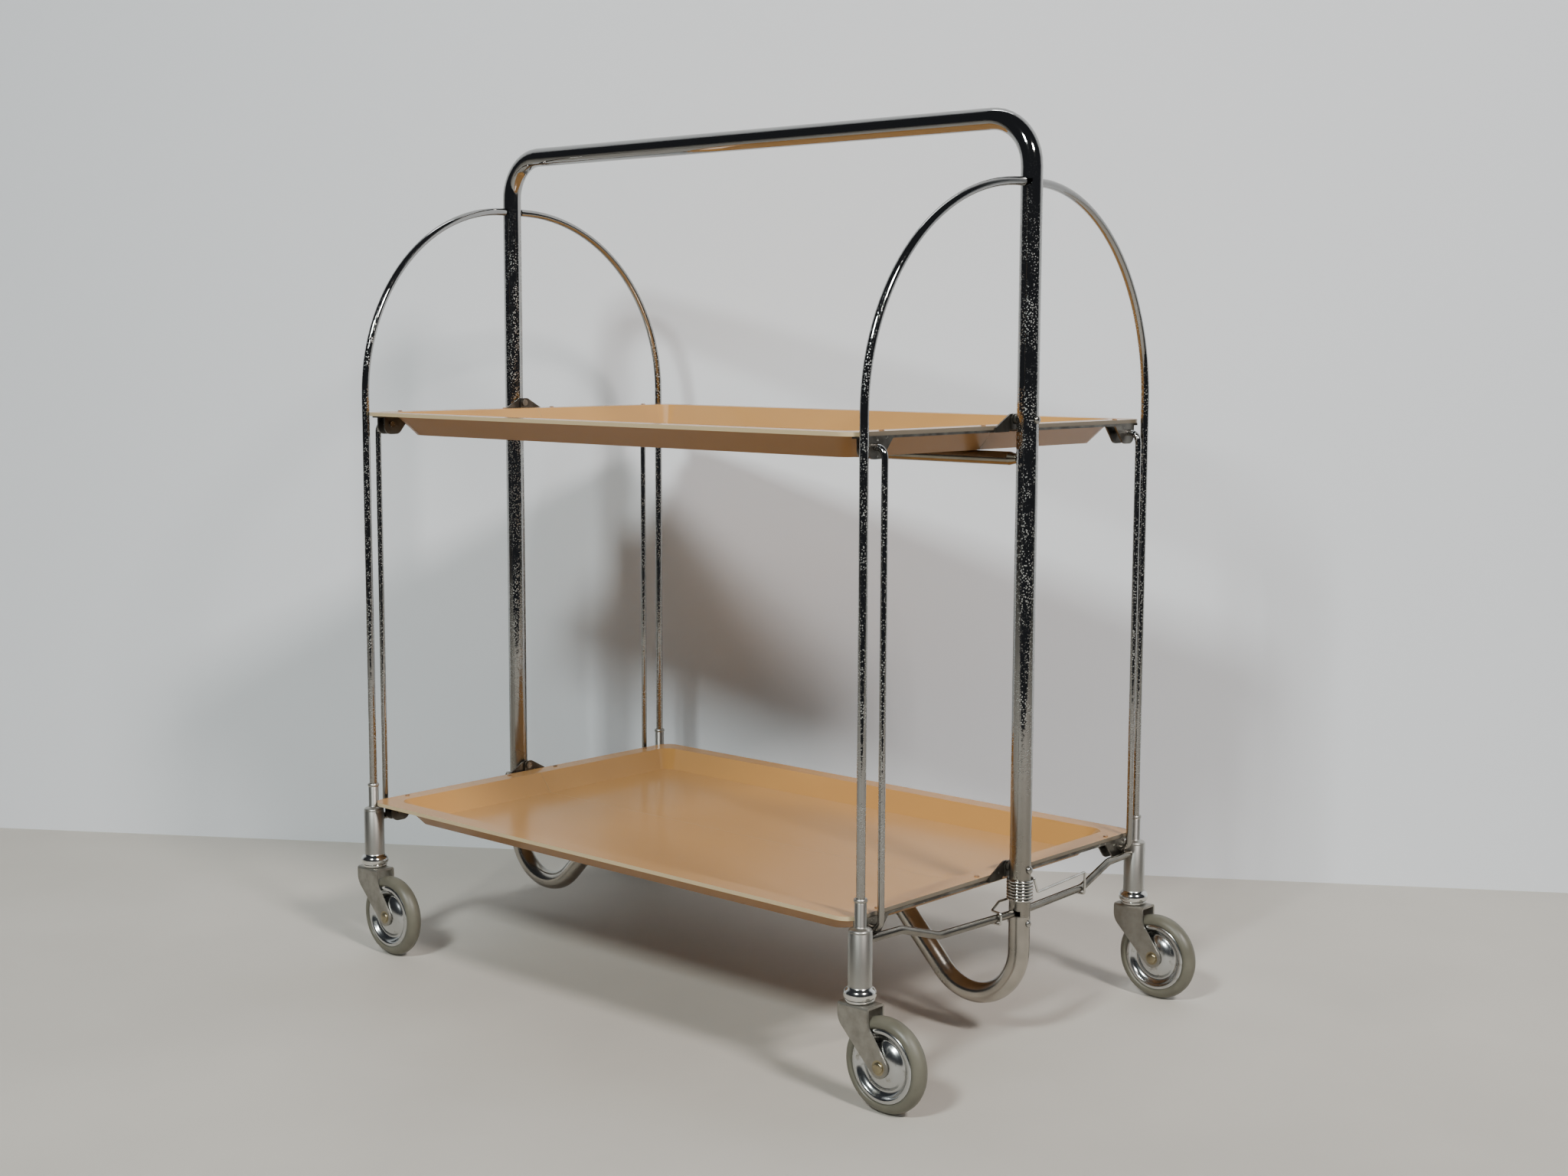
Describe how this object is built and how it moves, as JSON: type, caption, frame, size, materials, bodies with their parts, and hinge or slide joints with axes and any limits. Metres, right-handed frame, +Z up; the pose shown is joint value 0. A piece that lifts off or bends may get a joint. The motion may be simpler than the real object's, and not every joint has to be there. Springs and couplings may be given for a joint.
{
  "type": "folding tea trolley",
  "caption": "Drop leaf tea trolley: two folding lacquered trays in a chrome tube frame, with sprung hooped legs on swivel casters.",
  "frame": {"origin": "on the floor, midway between the two posts", "axes": "+X along the trolley, +Y across it, +Z up"},
  "size_m": [0.7422, 0.411, 0.775],
  "materials": {
    "chrome": "polished chrome plate, lightly pitted with age",
    "nickel": "satin plated steel",
    "tray_lacquer": "semi-gloss caramel lacquer, lightly worn",
    "strap_steel": "dull plated steel, darkened with age",
    "rivet_steel": "plain steel",
    "spring_wire": "bright drawn spring wire",
    "fork_zinc": "dull zinc-plated pressed steel",
    "axle_brass": "dull tarnished brass",
    "tyre_rubber": "aged grey-green rubber",
    "hub_chrome": "polished pressed steel disc"
  },
  "bodies": {
    "frame": {"handle_frame": "chrome", "base_tube": "chrome", "crossbar": "chrome", "hinge_pins": "rivet_steel", "foot_rivets": "rivet_steel", "spring_left": "spring_wire", "spring_right": "spring_wire"},
    "upper_near_leaf": {"tray_upper_near": "tray_lacquer", "strap_upper_near_left": "strap_steel", "strap_upper_near_right": "strap_steel", "rivets_upper_near": "rivet_steel"},
    "upper_far_leaf": {"tray_upper_far": "tray_lacquer", "strap_upper_far_left": "strap_steel", "strap_upper_far_right": "strap_steel", "rivets_upper_far": "rivet_steel"},
    "lower_near_leaf": {"tray_lower_near": "tray_lacquer", "strap_lower_near_left": "strap_steel", "strap_lower_near_right": "strap_steel", "rivets_lower_near": "rivet_steel"},
    "lower_far_leaf": {"tray_lower_far": "tray_lacquer", "strap_lower_far_left": "strap_steel", "strap_lower_far_right": "strap_steel", "rivets_lower_far": "rivet_steel"},
    "near_link_rods": {"link_rod_near_left": "chrome", "link_rod_near_right": "chrome"},
    "far_link_rods": {"link_rod_far_left": "chrome", "link_rod_far_right": "chrome"},
    "gate_near_left": {"hoop_leg_near_left": "chrome", "arm_near_left": "chrome", "socket_near_left": "nickel"},
    "caster_near_left": {"fork_near_left": "fork_zinc", "stem_near_left": "rivet_steel", "axle_near_left": "axle_brass"},
    "wheel_near_left": {"tyre_near_left": "tyre_rubber", "hub_near_left": "hub_chrome"},
    "gate_near_right": {"hoop_leg_near_right": "chrome", "arm_near_right": "chrome", "socket_near_right": "nickel"},
    "caster_near_right": {"fork_near_right": "fork_zinc", "stem_near_right": "rivet_steel", "axle_near_right": "axle_brass"},
    "wheel_near_right": {"tyre_near_right": "tyre_rubber", "hub_near_right": "hub_chrome"},
    "gate_far_left": {"hoop_leg_far_left": "chrome", "arm_far_left": "chrome", "socket_far_left": "nickel"},
    "caster_far_left": {"fork_far_left": "fork_zinc", "stem_far_left": "rivet_steel", "axle_far_left": "axle_brass"},
    "wheel_far_left": {"tyre_far_left": "tyre_rubber", "hub_far_left": "hub_chrome"},
    "gate_far_right": {"hoop_leg_far_right": "chrome", "arm_far_right": "chrome", "socket_far_right": "nickel"},
    "caster_far_right": {"fork_far_right": "fork_zinc", "stem_far_right": "rivet_steel", "axle_far_right": "axle_brass"},
    "wheel_far_right": {"tyre_far_right": "tyre_rubber", "hub_far_right": "hub_chrome"}
  },
  "joints": [
    {"name": "near_leaf_fold", "type": "hinge", "parent": "frame", "child": "upper_near_leaf", "pos_m": [0, 0, 0.5245], "axis": [-1, 0, 0], "range_deg": [0, 86]},
    {"name": "far_leaf_fold", "type": "hinge", "parent": "frame", "child": "upper_far_leaf", "pos_m": [0, 0, 0.5245], "axis": [1, 0, 0], "range_deg": [0, 86]},
    {"name": "lower_near_leaf_fold", "type": "hinge", "parent": "frame", "child": "lower_near_leaf", "pos_m": [0, 0, 0.1525], "axis": [-1, 0, 0], "range_deg": [0, 86]},
    {"name": "lower_far_leaf_fold", "type": "hinge", "parent": "frame", "child": "lower_far_leaf", "pos_m": [0, 0, 0.1525], "axis": [1, 0, 0], "range_deg": [0, 86]},
    {"name": "near_link_pivot", "type": "hinge", "parent": "upper_near_leaf", "child": "near_link_rods", "pos_m": [0, -0.1745, 0.508], "axis": [-1, 0, 0], "range_deg": [-86, 0]},
    {"name": "far_link_pivot", "type": "hinge", "parent": "upper_far_leaf", "child": "far_link_rods", "pos_m": [0, 0.1745, 0.508], "axis": [1, 0, 0], "range_deg": [-86, 0]},
    {"name": "gate_near_left_swing", "type": "hinge", "parent": "frame", "child": "gate_near_left", "pos_m": [-0.3175, 0, 0.4], "axis": [0, 0, -1], "range_deg": [0, 25], "stiffness_Nm_per_rad": 0.6, "springref_deg": -20.05, "deforming": ["spring_left"]},
    {"name": "caster_near_left_swivel", "type": "hinge", "parent": "gate_near_left", "child": "caster_near_left", "pos_m": [-0.30607, -0.19246, 0.09], "axis": [0, 0, 1], "continuous": true},
    {"name": "wheel_near_left_spin", "type": "hinge", "parent": "caster_near_left", "child": "wheel_near_left", "pos_m": [-0.27907, -0.19246, 0.038], "axis": [0, 1, 0], "continuous": true},
    {"name": "gate_near_right_swing", "type": "hinge", "parent": "frame", "child": "gate_near_right", "pos_m": [0.3175, 0, 0.4], "axis": [0, 0, 1], "range_deg": [0, 25], "stiffness_Nm_per_rad": 0.6, "springref_deg": -20.05, "deforming": ["spring_right"]},
    {"name": "caster_near_right_swivel", "type": "hinge", "parent": "gate_near_right", "child": "caster_near_right", "pos_m": [0.30607, -0.19246, 0.09], "axis": [0, 0, 1], "continuous": true},
    {"name": "wheel_near_right_spin", "type": "hinge", "parent": "caster_near_right", "child": "wheel_near_right", "pos_m": [0.33307, -0.19246, 0.038], "axis": [0, 1, 0], "continuous": true},
    {"name": "gate_far_left_swing", "type": "hinge", "parent": "frame", "child": "gate_far_left", "pos_m": [-0.3175, 0, 0.4], "axis": [0, 0, 1], "range_deg": [0, 25], "stiffness_Nm_per_rad": 0.6, "springref_deg": -20.05},
    {"name": "caster_far_left_swivel", "type": "hinge", "parent": "gate_far_left", "child": "caster_far_left", "pos_m": [-0.30607, 0.19246, 0.09], "axis": [0, 0, 1], "continuous": true},
    {"name": "wheel_far_left_spin", "type": "hinge", "parent": "caster_far_left", "child": "wheel_far_left", "pos_m": [-0.33307, 0.19246, 0.038], "axis": [0, 1, 0], "continuous": true},
    {"name": "gate_far_right_swing", "type": "hinge", "parent": "frame", "child": "gate_far_right", "pos_m": [0.3175, 0, 0.4], "axis": [0, 0, -1], "range_deg": [0, 25], "stiffness_Nm_per_rad": 0.6, "springref_deg": -20.05},
    {"name": "caster_far_right_swivel", "type": "hinge", "parent": "gate_far_right", "child": "caster_far_right", "pos_m": [0.30607, 0.19246, 0.09], "axis": [0, 0, 1], "continuous": true},
    {"name": "wheel_far_right_spin", "type": "hinge", "parent": "caster_far_right", "child": "wheel_far_right", "pos_m": [0.33307, 0.19246, 0.038], "axis": [0, 1, 0], "continuous": true}
  ],
  "couplings": [
    {"joint": "lower_near_leaf_fold", "follows": "near_leaf_fold", "ratio": 1},
    {"joint": "lower_far_leaf_fold", "follows": "far_leaf_fold", "ratio": 1},
    {"joint": "near_link_pivot", "follows": "near_leaf_fold", "ratio": -1},
    {"joint": "far_link_pivot", "follows": "far_leaf_fold", "ratio": -1}
  ]
}
